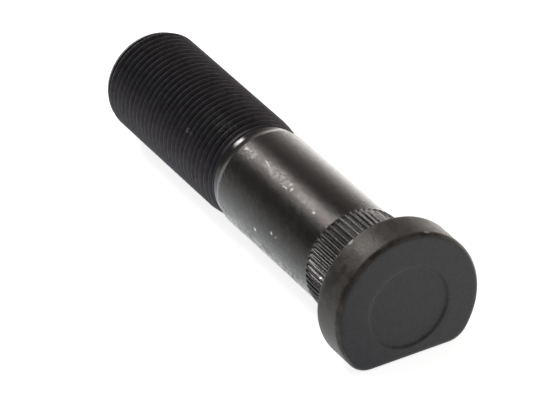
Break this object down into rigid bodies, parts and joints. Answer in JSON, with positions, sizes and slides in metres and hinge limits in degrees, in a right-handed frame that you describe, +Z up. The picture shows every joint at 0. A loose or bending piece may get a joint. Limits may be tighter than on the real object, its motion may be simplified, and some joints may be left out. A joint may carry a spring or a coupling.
{
  "type": "press-in wheel bolt",
  "caption": "Press-in wheel bolt: round head with a holding flat, straight knurl, plain shank, relieved neck and fine thread with a tapered end.",
  "frame": {"origin": "on the bolt's axis, in the plane of the seat under the head", "axes": "+X along the axis from the head towards the threaded end; the head's flat faces -Z, as the bolt lies on a table; +Z up"},
  "size_m": [0.0945, 0.0282, 0.0243],
  "materials": {
    "steel": "dark forged and rolled steel, lightly oiled, scuffed on the shank"
  },
  "bodies": {
    "root": {"wheel_bolt": "steel"}
  },
  "joints": []
}
